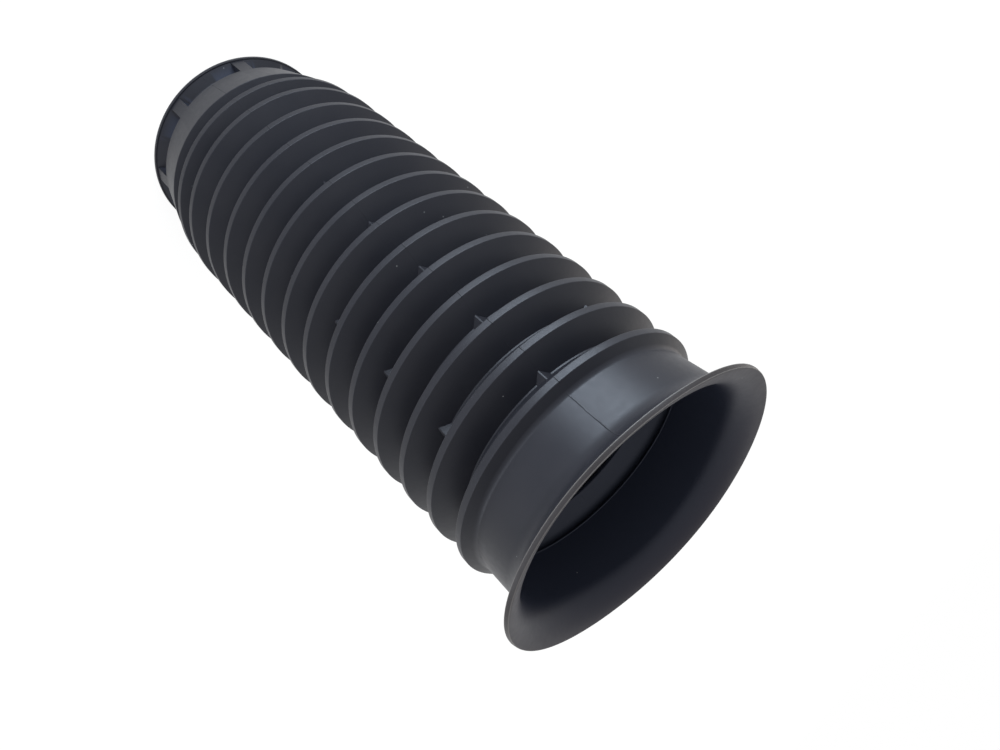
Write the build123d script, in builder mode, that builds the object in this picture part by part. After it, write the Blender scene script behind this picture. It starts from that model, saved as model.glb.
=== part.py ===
"""Rubber bellows boot, moulded in one piece.

A flared mouth and a short plain neck lead into a run of V-shaped folds, which ends in a smaller
closing fold and a tapered collar. Between its thin end ring and the taper the collar is cored out
from the outside, which leaves ribs standing over the bore that grips the mating part. Small webs
cross the valleys of the bellows and keep the folds from rolling over.

Units are millimetres. Z is the boot's axis. Z = 0 is the end face of the collar, which the boot
stands on, and the mouth is at the top. The mould parts in the plane X = 0.
"""

import os
from math import cos, radians, sin

from build123d import *

# Bellows
fold_count = 13  # full-size crests
fold_pitch = 12.0
crest_radius = 40.0
root_radius = 33.0  # outside, at the bottom of the valleys
crest_width = 1.95  # flat band round the outside of each crest
inside_crest_width = 1.25
crest_wall = 1.0  # radial, at a crest
root_wall = 1.5  # radial, at the bottom of a valley

# Closing fold, beside the collar
closing_crest_radius = 39.2
closing_pitch = 10.1  # from the closing crest to the first full-size one

# Webs across the valleys
web_count = 4  # in each valley
web_height = 2.0
web_top_width = 0.4
web_spread = 1.0  # widening of each side for every millimetre down

# Collar
collar_bore_radius = 29.0
pocket_floor_wall = 1.5
pocket_depth = 3.4
pocket_height = 7.2
end_ring_height = 1.4
end_ring_step = 0.6  # the rim of the end ring stands out from the ribs, radial
rib_count = 8
rib_angle = 7.7
taper_height = 14.0
taper_rise = 3.5  # radial
collar_wall = 1.5
shoulder_drop = 8.2  # from the closing crest down to the shoulder of the taper

# Neck and mouth
neck_step = 3.0  # from the top crest in to the neck, radial
neck_wall = 1.5
neck_length = 12.6  # from the middle of the top crest to the start of the flare
flare_radius = 10.9
flare_angle = 74.0
lip_round = 0.6

# Levels along the axis
pocket_top = end_ring_height + pocket_height
shoulder_z = pocket_top + taper_height
closing_crest_z = shoulder_z + shoulder_drop
first_crest_z = closing_crest_z + closing_pitch
top_crest_z = first_crest_z + (fold_count - 1) * fold_pitch
flare_z = top_crest_z + neck_length

# Crests as (level, radius), and the level of the valley under each of them
crests = [(closing_crest_z, closing_crest_radius)]
crests += [(first_crest_z + i * fold_pitch, crest_radius) for i in range(fold_count)]
valleys = [closing_crest_z - closing_pitch / 2, closing_crest_z + closing_pitch / 2]
valleys += [first_crest_z + (i + 0.5) * fold_pitch for i in range(fold_count - 1)]

# The flanks of a fold, outside and inside, as a rise in radius for each millimetre of axis
inside_root_radius = root_radius - root_wall
inside_crest_radius = crest_radius - crest_wall
flank_slope = (crest_radius - root_radius) / (fold_pitch / 2 - crest_width / 2)
inside_flank_slope = (inside_crest_radius - inside_root_radius) / (
    fold_pitch / 2 - inside_crest_width / 2
)

# Radii of the collar, from the bore outwards
pocket_floor_radius = collar_bore_radius + pocket_floor_wall
rib_radius = pocket_floor_radius + pocket_depth
end_ring_radius = rib_radius + end_ring_step
shoulder_radius = rib_radius + taper_rise

# The top fold runs down to the neck, and the neck turns into the flare
neck_radius = crest_radius - neck_step
neck_bore_radius = neck_radius - neck_wall
neck_foot_z = top_crest_z + crest_width / 2 + neck_step / flank_slope
inside_neck_foot_z = (
    top_crest_z
    + inside_crest_width / 2
    + (inside_crest_radius - neck_bore_radius) / inside_flank_slope
)
flare_centre_radius = neck_radius + flare_radius

outside = [
    (end_ring_radius, 0),
    (end_ring_radius, end_ring_height),
    (rib_radius, end_ring_height),
    (rib_radius, pocket_top),
    (shoulder_radius, shoulder_z),
]
inside = [
    (collar_bore_radius, 0),
    (collar_bore_radius, pocket_top + collar_wall),
    (rib_radius - collar_wall, pocket_top + collar_wall),
    (shoulder_radius - collar_wall, shoulder_z),
]
for (level, radius), valley in zip(crests, valleys):
    outside += [
        (root_radius, valley),
        (radius, level - crest_width / 2),
        (radius, level + crest_width / 2),
    ]
    inside += [
        (inside_root_radius, valley),
        (radius - crest_wall, level - inside_crest_width / 2),
        (radius - crest_wall, level + inside_crest_width / 2),
    ]
outside += [(neck_radius, neck_foot_z), (neck_radius, flare_z)]
inside += [(neck_bore_radius, inside_neck_foot_z), (neck_bore_radius, flare_z)]

# One web: as wide along the axis as the valley, so that its ends lie inside the flanks
web_sink = root_wall / 2
web_reach = (web_height + web_sink) / flank_slope
web_foot_width = web_top_width + 2 * web_spread * (web_height + web_sink)
with BuildPart() as web:
    with BuildSketch(Plane.XZ):
        with BuildLine():
            Polyline(
                (root_radius - web_sink, 0),
                (root_radius + web_height, web_reach),
                (root_radius + web_height, -web_reach),
                close=True,
            )
        make_face()
    extrude(amount=web_foot_width / 2, both=True)
    with BuildSketch(Plane.XY):
        with BuildLine():
            Polyline(
                (root_radius - web_sink, web_foot_width / 2),
                (root_radius + web_height, web_top_width / 2),
                (root_radius + web_height, -web_top_width / 2),
                (root_radius - web_sink, -web_foot_width / 2),
                close=True,
            )
        make_face()
    extrude(amount=web_reach, both=True, mode=Mode.INTERSECT)

# One pocket of the collar, from one rib to the next. The end ring slopes up into it like a flank.
pocket_angle = 360 / rib_count - rib_angle
with BuildPart() as pocket:
    with BuildSketch(Plane.XZ):
        with BuildLine():
            Polyline(
                (shoulder_radius, end_ring_height),
                (rib_radius, end_ring_height),
                (pocket_floor_radius, end_ring_height + pocket_depth / flank_slope),
                (pocket_floor_radius, pocket_top),
                (shoulder_radius, pocket_top),
                close=True,
            )
        make_face()
    revolve(axis=Axis.Z, revolution_arc=pocket_angle)

with BuildPart() as bellows_boot:
    with BuildSketch(Plane.XZ) as section:
        with BuildLine():
            Polyline(outside)
            flare = CenterArc(
                (flare_centre_radius, flare_z), flare_radius, 180, -flare_angle
            )
            inside_flare = CenterArc(
                (flare_centre_radius, flare_z), flare_radius + neck_wall, 180, -flare_angle
            )
            Polyline(inside)
            Line(outside[0], inside[0])
            Line(flare @ 1, inside_flare @ 1)
        make_face()
        fillet(section.vertices().group_by(Axis.Y)[-1], lip_round)
    revolve(axis=Axis.Z)

    with PolarLocations(0, rib_count, start_angle=-pocket_angle / 2):
        add(pocket.part, mode=Mode.SUBTRACT)

    for i, valley in enumerate(valleys[2:]):
        turn = 0 if i % 2 else 180 / web_count
        with Locations((0, 0, valley)):
            with PolarLocations(0, web_count, start_angle=turn):
                add(web.part)

bellows_boot.part.label = "bellows_boot"

os.makedirs("parts", exist_ok=True)
export_step(bellows_boot.part, "parts/bellows_boot.step")
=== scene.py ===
from math import atan2, cos, pi, radians, sin, sqrt

import bpy
from mathutils import Matrix, Vector


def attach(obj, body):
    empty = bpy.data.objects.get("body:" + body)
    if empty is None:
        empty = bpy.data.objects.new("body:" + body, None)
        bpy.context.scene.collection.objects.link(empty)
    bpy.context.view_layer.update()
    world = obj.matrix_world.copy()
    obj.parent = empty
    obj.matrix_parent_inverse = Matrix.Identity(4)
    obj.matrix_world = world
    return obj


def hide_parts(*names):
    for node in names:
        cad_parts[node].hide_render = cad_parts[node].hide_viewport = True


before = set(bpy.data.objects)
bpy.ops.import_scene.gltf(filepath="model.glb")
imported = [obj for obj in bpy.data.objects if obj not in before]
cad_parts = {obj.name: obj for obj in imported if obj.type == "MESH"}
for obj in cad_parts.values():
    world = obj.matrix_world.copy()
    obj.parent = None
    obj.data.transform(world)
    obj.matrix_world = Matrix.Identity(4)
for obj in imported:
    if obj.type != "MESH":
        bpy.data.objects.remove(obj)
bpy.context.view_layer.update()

# ---------------------------------------------------------------------------------------------
# The boot: one rubber moulding with a flared mouth, a plain neck, V-shaped folds and a tapered
# collar. It leaves a two-part mould, whose parting plane is X = 0, and is stripped off the core.
# Its wall is drawn as one closed outline (radius, level), and turned about the axis.
# ---------------------------------------------------------------------------------------------
mm = 0.001  # sizes are in millimetres, and Blender's in metres
steps_around = 360

# Folds. The lowest one closes the bellows, and stands nearer to the next than the others do.
fold_pitch = 12.0
half_pitch = 6.0
closing_half_pitch = 5.05
crest_levels = [30.8, 40.9] + [52.9 + fold_pitch * i for i in range(12)]
crest_radius = 40.0
crest_radii = [39.2] + [crest_radius] * 13
crest_half = 0.975  # half the width of the flat band round a crest
crest_wall = 1.0
inside_half = 0.625
root_radius = 33.0
root_half = 0.22
root_wall = 1.5
flank = (crest_radius - root_radius) / (half_pitch - crest_half)  # its rise along the axis

# Neck and flare
neck_radius = 37.0
neck_wall = 1.5
neck_foot_rounding = 1.0
flare_level = 197.5
flare_radius = 10.9
flare_turn = 74.0
flare_steps = 12

# Collar: an end ring, a straight part with ribs and pockets, and a taper up to the folds
ring_radius = 34.5
ring_top = 1.4
rib_radius = 33.9
rib_top = 8.6
taper_radius = 37.4
taper_top = 22.6
collar_wall = 1.5
collar_bore = 29.0


def valley_below(i):
    return crest_levels[i] - (closing_half_pitch if i < 2 else half_pitch)


# Outside, from the end ring up to the neck. Each corner has the radius that it is rounded to.
outline = [(ring_radius, 0.0, 0.35), (ring_radius, ring_top, 0.35), (rib_radius, ring_top, 0.0),
           (rib_radius, rib_top, 0.0), (taper_radius, taper_top, 0.25)]
for i, (level, radius) in enumerate(zip(crest_levels, crest_radii)):
    outline += [(root_radius, valley_below(i) - root_half, 0.0),
                (root_radius, valley_below(i) + root_half, 0.0),
                (radius, level - crest_half, 0.14), (radius, level + crest_half, 0.14)]
foot = crest_levels[-1] + crest_half + (crest_radius - neck_radius) / flank
outline += [(neck_radius, foot, neck_foot_rounding), (neck_radius, flare_level, 0.0)]

# The flare, out along its outer face, round the lip and back along its inner face
centre = neck_radius + flare_radius
inner_arc = flare_radius + neck_wall
turns = [flare_turn * k / flare_steps for k in range(1, flare_steps + 1)]


def on_flare(arc, turn, lip_rounding):
    return (centre - arc * cos(radians(turn)), flare_level + arc * sin(radians(turn)),
            lip_rounding if turn == turns[-1] else 0.0)


outline += [on_flare(flare_radius, turn, 0.3) for turn in turns]
first_inside = len(outline)
outline += [on_flare(inner_arc, turn, 0.35) for turn in reversed(turns)]

# Inside, from the neck back down to the bore of the collar. The bore of the neck ends in a fine
# bead at the level of the topmost crest, over a shallow groove.
bore = neck_radius - neck_wall
bead = 0.13
inside_foot = crest_levels[-1] + 0.7
outline += [(bore, flare_level, 0.0), (bore, inside_foot + 0.35, 0.0),
            (bore - bead, inside_foot + 0.2, 0.0), (bore - bead, inside_foot, 0.0),
            (37.4, inside_foot - 0.7, 0.0), (37.4, inside_foot - 1.2, 0.0),
            (root_radius - root_wall, crest_levels[-1] - half_pitch, 0.5)]
for i in reversed(range(len(crest_levels) - 1)):
    level, radius = crest_levels[i], crest_radii[i] - crest_wall
    outline += [(radius, level + inside_half, 0.4), (radius, level - inside_half, 0.4),
                (root_radius - root_wall, valley_below(i), 0.5)]
outline += [(taper_radius - collar_wall, taper_top, 0.0),
            (rib_radius - collar_wall, rib_top + collar_wall, 0.4),
            (collar_bore, rib_top + collar_wall, 0.5), (collar_bore, 0.0, 0.4)]


def draw_section(corners):
    """A face in the XZ plane through the corners, left in edit mode"""
    bpy.ops.object.select_all(action="DESELECT")
    bpy.ops.mesh.primitive_plane_add(
        size=2 * mm, location=(corners[0][0] * mm, 0, corners[0][1] * mm))
    bpy.ops.object.transform_apply(location=True)
    bpy.ops.object.mode_set(mode="EDIT")
    bpy.ops.mesh.select_all(action="SELECT")
    bpy.ops.mesh.merge(type="CENTER")
    for here, there in zip(corners, corners[1:]):
        bpy.ops.mesh.extrude_region_move(TRANSFORM_OT_translate={
            "value": ((there[0] - here[0]) * mm, 0, (there[1] - here[1]) * mm)})
    bpy.ops.mesh.select_all(action="SELECT")
    bpy.ops.mesh.edge_face_add()
    return bpy.context.object


def face_outwards():
    bpy.ops.mesh.select_all(action="SELECT")
    bpy.ops.mesh.normals_make_consistent(inside=False)
    bpy.ops.object.mode_set(mode="OBJECT")


boot = draw_section(outline)
boot.name = "boot"
bpy.ops.object.mode_set(mode="OBJECT")

# The inside of the moulding is marked, because its colour holds painted light from the mouth
inside = boot.data.attributes.new("inside", "FLOAT", "POINT")
for vertex in boot.data.vertices:
    nearest = min(range(len(outline)), key=lambda k: (outline[k][0] - vertex.co.x / mm) ** 2
                  + (outline[k][1] - vertex.co.z / mm) ** 2)
    inside.data[vertex.index].value = 1.0 if nearest >= first_inside else 0.0

# Round the corners, from the largest rounding to the smallest. Those of 0.4 and more are on the
# inside, where one flat is enough, apart from the foot of the neck.
for rounding in sorted({corner[2] for corner in outline if corner[2]}, reverse=True):
    for vertex in boot.data.vertices:
        vertex.select = any(
            c[2] == rounding and (Vector((c[0] * mm, 0, c[1] * mm)) - vertex.co).length < 1e-6
            for c in outline)
    for edge in boot.data.edges:
        edge.select = False
    for face in boot.data.polygons:
        face.select = False
    bpy.ops.object.mode_set(mode="EDIT")
    bpy.ops.mesh.select_mode(type="VERT")
    segments = 4 if rounding == neck_foot_rounding else 2 if rounding < 0.4 else 1
    bpy.ops.mesh.bevel(offset=rounding * mm, offset_type="OFFSET", segments=segments,
                       affect="VERTICES", clamp_overlap=False)
    bpy.ops.object.mode_set(mode="OBJECT")

bpy.ops.object.mode_set(mode="EDIT")
bpy.ops.mesh.select_all(action="SELECT")
bpy.ops.mesh.delete(type="ONLY_FACE")
bpy.ops.mesh.select_all(action="SELECT")
bpy.ops.mesh.spin(steps=steps_around, angle=2 * pi, center=(0, 0, 0), axis=(0, 0, 1))
bpy.ops.mesh.select_all(action="SELECT")
bpy.ops.mesh.remove_doubles(threshold=1e-6)
face_outwards()

# The soft lip has been pressed out of round, between a front and a back. There its flare turns
# out later and tighter, most of all at the back. At the two sides it is widest and ends in a flat
# brim, and one of them is curled back further. The face of the lip, its two edges, which get
# painted highlight lines, and the inside of the flare are marked for the material.
front = radians(-76)
curled_side = radians(-152)
pressed_bend, pressed_late, later_at_back = 6.35, 3.8, 1.2
side_bend, side_late, side_brim = 8.0, 2.2, 2.2
curl_tighter, curl_late, curl_brim, curl_swell, curl_turn = 2.0, 0.3, 0.5, 1.2, 8
face_edge, highlight_line_width = 0.02, 0.2
for name in ("rim", "lip_edge_highlight", "bell"):
    boot.data.attributes.new(name, "FLOAT", "POINT")
rim, lip_edge_highlight, bell = (boot.data.attributes[name] for name in ("rim", "lip_edge_highlight", "bell"))
for vertex in boot.data.vertices:
    x, y, z = vertex.co / mm
    if z < flare_level - 0.01:
        continue
    radius, angle = sqrt(x * x + y * y), atan2(y, x)
    turn = atan2(z - flare_level, centre - radius)
    outward = sqrt((z - flare_level) ** 2 + (centre - radius) ** 2) - flare_radius
    on_face = face_edge < outward < neck_wall - face_edge
    at_lip_edge = outward < highlight_line_width or outward > neck_wall - highlight_line_width
    rim.data[vertex.index].value = 1.0 if on_face else 0.0
    lip_edge_highlight.data[vertex.index].value = 1.0 if on_face and at_lip_edge else 0.0
    bell.data[vertex.index].value = (
        turn / radians(flare_turn) if outward > 0.5 * neck_wall else 0.0)
    pressed = (1 + cos(2 * (angle - front))) / 2
    side = 1 - pressed
    curl = (1 + cos(angle - curled_side)) / 2
    bend = pressed_bend * pressed + side * (side_bend - curl_tighter * curl)
    swell = curl_swell * side * curl
    brim = side * (side_brim + curl_brim * curl)
    end = radians(flare_turn + curl_turn * side * curl)
    late = (pressed * (pressed_late - later_at_back * cos(angle - front))
            + side * (side_late + curl_late * curl))
    along_lip = turn / radians(flare_turn) * (bend * end + brim)
    turned = min(along_lip / bend, end)
    beyond = along_lip - bend * turned
    radius = (neck_radius + swell + bend - (bend + outward) * cos(turned)
              + beyond * sin(end))
    level = flare_level + late + (bend + outward) * sin(turned) + beyond * cos(end)
    vertex.co = (radius * cos(angle) * mm, radius * sin(angle) * mm, level * mm)

# Pockets that core out the collar between its eight ribs. The end ring slopes up into them.
rib_spacing = 45
rib_angle = 7.7
pocket_angle = rib_spacing - rib_angle
pocket_floor = 30.5
pocket_depth = 3.4
past_collar = 37.0


def turn_about_axis(degrees):
    bpy.ops.transform.rotate(value=radians(degrees), orient_axis="Z",
                             center_override=(0, 0, 0))


def copy_about_axis(copies, degrees, rise=0.0):
    for _ in range(copies):
        bpy.ops.mesh.duplicate()
        if rise:
            bpy.ops.transform.translate(value=(0, 0, rise * mm))
        turn_about_axis(degrees)


pockets = draw_section([
    (past_collar, ring_top), (rib_radius, ring_top),
    (pocket_floor, ring_top + pocket_depth / flank), (pocket_floor, rib_top),
    (past_collar, rib_top)])
bpy.ops.mesh.select_all(action="DESELECT")
bpy.ops.object.mode_set(mode="OBJECT")
for vertex in pockets.data.vertices:
    vertex.select = vertex.co.x < (pocket_floor + 0.5) * mm
bpy.ops.object.mode_set(mode="EDIT")
bpy.ops.mesh.bevel(offset=0.6 * mm, segments=3, affect="VERTICES")
bpy.ops.mesh.select_all(action="SELECT")
turn_about_axis(pocket_angle / 2)
bpy.ops.mesh.spin(steps=24, angle=-radians(pocket_angle), center=(0, 0, 0), axis=(0, 0, 1))
bpy.ops.mesh.select_all(action="SELECT")
copy_about_axis(7, rib_spacing)
face_outwards()

# Webs that cross the valleys, four to a valley, and turned by half a space in every second one.
# Each is a block pinched to a narrow top and to a thin edge at its foot, sunk into the wall.
web_height = 2.0
web_sink = root_wall / 2
web_top = 0.35
foot_pinch = 0.05
web_spacing = 90
bpy.ops.object.select_all(action="DESELECT")
bpy.ops.mesh.primitive_cube_add(size=1)
webs = bpy.context.object
height = web_height + web_sink
webs.scale = (height * mm, (web_top + 2 * height) * mm, 2 * height / flank * mm)
webs.location = ((root_radius + web_height - height / 2) * mm, 0, 0)
bpy.ops.object.transform_apply(location=True, scale=True)
bpy.ops.object.mode_set(mode="EDIT")
bpy.ops.mesh.select_all(action="DESELECT")
bpy.ops.object.mode_set(mode="OBJECT")
for vertex in webs.data.vertices:
    vertex.select = vertex.co.x > root_radius * mm
bpy.ops.object.mode_set(mode="EDIT")
bpy.ops.transform.resize(value=(1, web_top / (web_top + 2 * height), 1),
                         center_override=(0, 0, 0))
bpy.ops.mesh.select_all(action="INVERT")
bpy.ops.transform.resize(value=(1, 1, foot_pinch), center_override=(0, 0, 0))
bpy.ops.mesh.select_all(action="SELECT")
copy_about_axis(3, web_spacing)
bpy.ops.mesh.select_all(action="SELECT")
bpy.ops.transform.translate(value=(0, 0, (crest_levels[1] + half_pitch) * mm))
turn_about_axis(web_spacing / 2)
copy_about_axis(11, web_spacing / 2, rise=fold_pitch)
face_outwards()

bpy.ops.object.select_all(action="DESELECT")
boot.select_set(True)
bpy.context.view_layer.objects.active = boot
for name, tool, operation in (("cored_out", pockets, "DIFFERENCE"), ("webbed", webs, "UNION")):
    cut = boot.modifiers.new(name, "BOOLEAN")
    cut.operation, cut.object, cut.solver = operation, tool, "EXACT"
    bpy.ops.object.modifier_apply(modifier=name)
    bpy.data.objects.remove(tool)

bpy.ops.object.shade_smooth_by_angle(angle=radians(32))
even = boot.modifiers.new("even_normals", "WEIGHTED_NORMAL")
even.weight = 80
even.keep_sharp = True
bpy.ops.object.modifier_apply(modifier="even_normals")

# Black rubber, a little uneven in colour and gloss. The inside of the bore and the flare, painted
# with the light that comes in at the mouth, the face of the lip, the painted highlights along its
# edges, dust and the painted shade beside the parting line differ from it.
rubber_dark, rubber_dull = (0.0082, 0.0086, 0.0122), (0.0116, 0.0117, 0.0152)
# painted light inside the mouth: lighter and navy in the bore, purple-brown in the flare
painted_navy_light_in_bore, painted_brown_light_in_flare = (0.0180, 0.0215, 0.0350), (0.0150, 0.0120, 0.0170)
lip_face = (0.020, 0.017, 0.017)
# painted highlight for the thin bright lines along the two edges of the lip's face
painted_edge_highlight = (0.105, 0.098, 0.095)
dust_grey = (0.16, 0.165, 0.17)
# painted shade along the dark side of the parting flash
painted_shade_black = (0.002, 0.002, 0.003)
plain_roughness = 0.43

rubber = bpy.data.materials.new("black_rubber")
rubber.use_nodes = True
nodes, links = rubber.node_tree.nodes, rubber.node_tree.links
shader = nodes["Principled BSDF"]
shader.inputs["Specular IOR Level"].default_value = 0.25
shader.inputs["Specular Tint"].default_value = (0.87, 0.90, 1.0, 1)
place = nodes.new("ShaderNodeTexCoord").outputs["Object"]
axes = nodes.new("ShaderNodeSeparateXYZ")
links.new(place, axes.inputs[0])
across, along, up_axis = axes.outputs


def reckon(operation, *values):
    node = nodes.new("ShaderNodeMath")
    node.operation = operation
    for socket, value in zip(node.inputs, values):
        if isinstance(value, (int, float)):
            socket.default_value = value
        else:
            links.new(value, socket)
    return node.outputs[0]


def fade(value, low, high, start=0.0, end=1.0):
    node = nodes.new("ShaderNodeMapRange")
    node.interpolation_type = "SMOOTHSTEP"
    for socket, number in zip(node.inputs[1:5], (low, high, start, end)):
        socket.default_value = number
    links.new(value, node.inputs[0])
    return node.outputs[0]


def mottle(size, detail):
    node = nodes.new("ShaderNodeTexNoise")
    node.inputs["Scale"].default_value = 1 / size
    node.inputs["Detail"].default_value = detail
    links.new(place, node.inputs["Vector"])
    return node.outputs["Fac"]


def marked(name):
    node = nodes.new("ShaderNodeAttribute")
    node.attribute_name = name
    return node.outputs["Fac"]


def tinted(amount, first, second):
    node = nodes.new("ShaderNodeMix")
    node.data_type = "RGBA"
    links.new(amount, node.inputs["Factor"])
    for socket, colour in zip(node.inputs[6:8], (first, second)):
        if isinstance(colour, tuple):
            socket.default_value = (*colour, 1)
        else:
            links.new(colour, socket)
    return node.outputs[2]


# Parting line of the mould: a fine raised flash with painted shade on its dark side, plain on the
# neck, on the band of every crest and on the collar, and faint on the flanks. The lip and the
# inside are bare.
wander = reckon("MULTIPLY", reckon("SUBTRACT", mottle(3.5 * mm, 4), 0.5), 0.55 * mm)
offset = reckon("ADD", across, wander)
radius = reckon("SQRT", reckon("ADD", reckon("MULTIPLY", across, across),
                               reckon("MULTIPLY", along, along)))
on_neck = fade(up_axis, 187.6 * mm, 188.2 * mm)
on_bands = fade(radius, 39.6 * mm, 39.9 * mm)
on_collar = fade(up_axis, 24 * mm, 23 * mm, 0.0, 0.6)
faint = reckon("MULTIPLY", fade(mottle(9 * mm, 1), 0.45, 0.55), 0.3)
strength = reckon("MAXIMUM", reckon("MAXIMUM", on_neck, on_bands),
                  reckon("MAXIMUM", on_collar, faint))
uneven = fade(mottle(5 * mm, 2), 0.35, 0.6, 0.45, 1.0)
in_neck = reckon("MULTIPLY", fade(radius, 36.4 * mm, 36.0 * mm), on_neck)
outside = reckon("MULTIPLY", fade(radius, 32.0 * mm, 32.8 * mm),
                 reckon("SUBTRACT", 1.0, in_neck))
on_lip, in_flare = marked("rim"), marked("bell")
on_mouth = reckon("MAXIMUM", on_lip, fade(in_flare, 0.0, 0.02))
bare = reckon("SUBTRACT", 1.0, on_mouth)
strength = reckon("MULTIPLY", reckon("MULTIPLY", strength, uneven),
                  reckon("MULTIPLY", outside, bare))
from_flash = reckon("ABSOLUTE", offset)
# The dark line just beside the flash, on its +X side, is painted shade
from_shade_line = reckon("ABSOLUTE", reckon("SUBTRACT", offset, 0.14 * mm))
flash = reckon("MULTIPLY", strength, fade(from_flash, 0.22 * mm, 0.04 * mm))
shade_line = reckon("MULTIPLY", strength, fade(from_shade_line, 0.17 * mm, 0.05 * mm))

# Uneven tone, painted light in the mouth, painted highlights on the lip's edges, dust and painted
# shade by the parting line
cloudy = mottle(22 * mm, 3)
fine = mottle(1.6 * mm, 3)
dots = nodes.new("ShaderNodeTexVoronoi")
dots.inputs["Scale"].default_value = 1 / (7 * mm)
links.new(place, dots.inputs["Vector"])
dust = fade(dots.outputs["Distance"], 0.032, 0.018)
colour = tinted(fade(cloudy, 0.3, 0.7), rubber_dark, rubber_dull)
# Painted light on the inside: navy in the bore, turning purple-brown up the flare
painted_inside_light = tinted(in_flare, painted_navy_light_in_bore, painted_brown_light_in_flare)
colour = tinted(marked("inside"), colour, painted_inside_light)
colour = tinted(on_lip, colour, lip_face)
# Painted highlight: thin light lines along the two edges of the lip's face
colour = tinted(marked("lip_edge_highlight"), colour, painted_edge_highlight)
colour = tinted(dust, colour, dust_grey)
# Painted shade along the dark side of the parting flash
colour = tinted(reckon("MULTIPLY", shade_line, 0.85), colour, painted_shade_black)
links.new(colour, shader.inputs["Base Color"])

rough = reckon("ADD", plain_roughness,
               reckon("MULTIPLY", reckon("SUBTRACT", cloudy, 0.5), 0.10))
rough = reckon("ADD", rough, reckon("MULTIPLY", reckon("SUBTRACT", fine, 0.5), 0.12))
rough = reckon("ADD", rough, reckon("MULTIPLY", shade_line, 0.35))
links.new(rough, shader.inputs["Roughness"])

relief = nodes.new("ShaderNodeBump")
relief.inputs["Distance"].default_value = 0.06 * mm
relief.inputs["Strength"].default_value = 1.0
grain = reckon("ADD", flash, reckon("MULTIPLY", mottle(0.7 * mm, 2), 0.10))
grain = reckon("ADD", grain, reckon("MULTIPLY", cloudy, 1.5))
links.new(grain, relief.inputs["Height"])
links.new(relief.outputs[0], shader.inputs["Normal"])
boot.data.materials.append(rubber)
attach(boot, "root")
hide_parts("bellows_boot")

# ---------------------------------------------------------------------------------------------
# Floor and light
# The boot stands on its collar on a sheet of white paper, in a white tent, with a soft lamp low in
# front, a long one at one side and a faint warm one behind.
# ---------------------------------------------------------------------------------------------
paper_glow = 0.88
tent_light = 0.68


def seen_as_background(nodes, links):
    """1 for the camera, a reflection or a clear part, which see the paper and the tent as white,
    and 0 for the light that falls on the boot"""
    path = nodes.new("ShaderNodeLightPath")
    seen = path.outputs["Is Camera Ray"]
    for ray in ("Is Glossy Ray", "Is Transmission Ray"):
        either = nodes.new("ShaderNodeMath")
        either.operation = "MAXIMUM"
        links.new(seen, either.inputs[0])
        links.new(path.outputs[ray], either.inputs[1])
        seen = either.outputs[0]
    return seen


# The paper glows nearly white by itself, and the rest is the light that falls on it, so that the
# shadow of the boot stays
bpy.ops.object.select_all(action="DESELECT")
bpy.ops.mesh.primitive_circle_add(vertices=96, radius=6, fill_type="NGON")
floor = bpy.context.object
floor.name = "floor"
paper = bpy.data.materials.new("white_paper")
paper.use_nodes = True
nodes, links = paper.node_tree.nodes, paper.node_tree.links
nodes.clear()
out = nodes.new("ShaderNodeOutputMaterial")
sheet = nodes.new("ShaderNodeBsdfDiffuse")
sheet.inputs["Color"].default_value = (0.9, 0.9, 0.9, 1)
shadow = nodes.new("ShaderNodeBsdfDiffuse")
shadow.inputs["Color"].default_value = (0.2, 0.2, 0.2, 1)
glow = nodes.new("ShaderNodeEmission")
glow.inputs["Strength"].default_value = paper_glow
plain = nodes.new("ShaderNodeAddShader")
links.new(glow.outputs[0], plain.inputs[0])
links.new(shadow.outputs[0], plain.inputs[1])
pick = nodes.new("ShaderNodeMixShader")
links.new(seen_as_background(nodes, links), pick.inputs[0])
links.new(sheet.outputs[0], pick.inputs[1])
links.new(plain.outputs[0], pick.inputs[2])
links.new(pick.outputs[0], out.inputs["Surface"])
floor.data.materials.append(paper)

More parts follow.
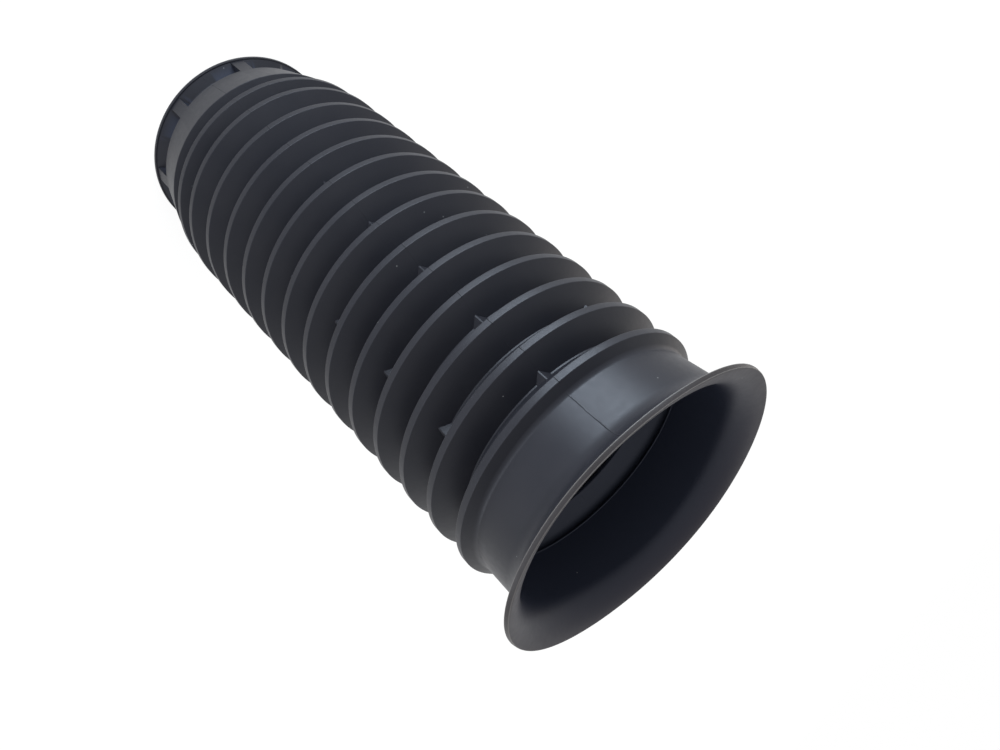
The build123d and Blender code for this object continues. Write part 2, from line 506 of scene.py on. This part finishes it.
tent = bpy.data.worlds.new("white_tent")
bpy.context.scene.world = tent
tent.use_nodes = True
nodes, links = tent.node_tree.nodes, tent.node_tree.links
nodes.clear()
out = nodes.new("ShaderNodeOutputWorld")
cloth = nodes.new("ShaderNodeBackground")
cloth.inputs["Color"].default_value = (1, 1, 1, 1)
level = nodes.new("ShaderNodeMath")
level.operation = "MULTIPLY_ADD"
level.inputs[1].default_value = 1 - tent_light
level.inputs[2].default_value = tent_light
links.new(seen_as_background(nodes, links), level.inputs[0])
links.new(level.outputs[0], cloth.inputs["Strength"])
links.new(cloth.outputs[0], out.inputs["Surface"])

# Lamps: name, place, the height on the axis that each is turned to, size, watts and colour
for name, place, height, size, power, colour in (
        ("key", (-0.144, -0.295, 0.03), 0.15, (0.30, 0.22), 3.3, (0.84, 0.94, 1.0)),
        ("strip", (0.87, -0.50, 0.14), 0.14, (1.9, 0.32), 7.6, (0.92, 0.96, 1.0)),
        ("warm", (-0.75, 0.42, 0.16), 0.16, (0.5, 0.5), 0.35, (1.0, 0.80, 0.66)),
):
    lamp = bpy.data.lights.new(name, "AREA")
    lamp.shape = "RECTANGLE"
    lamp.size, lamp.size_y = size
    lamp.energy = power
    lamp.color = colour
    holder = bpy.data.objects.new(name, lamp)
    bpy.context.collection.objects.link(holder)
    holder.location = place
    facing = Vector((0, 0, height)) - Vector(place)
    holder.rotation_euler = facing.to_track_quat("-Z", "Y").to_euler()
    holder.visible_camera = False

# ---------------------------------------------------------------------------------------------
# Camera
# It hangs over the mouth and looks down along the boot, turned so that the boot lies across the
# frame from one corner towards the other.
# ---------------------------------------------------------------------------------------------
camera = bpy.data.cameras.new("camera")
camera.sensor_width = 36.0
camera.lens = 30.8816
camera.clip_start = 0.01
view = bpy.data.objects.new("camera", camera)
bpy.context.collection.objects.link(view)
stand = Vector((0.04917335, -0.20295724, 0.27632642))
turned_to = Matrix(((-0.74917741, 0.20501374, 0.62984329),  # to the right of the frame
                    (-0.62862154, -0.51971938, -0.57855573),  # to its top
                    (0.20872989, -0.82937394, 0.51823807)))  # and back from it
view.matrix_world = Matrix.Translation(stand) @ turned_to.transposed().to_4x4()
bpy.context.scene.camera = view
bpy.context.scene.view_settings.view_transform = "Standard"

bpy.context.view_layer.update()
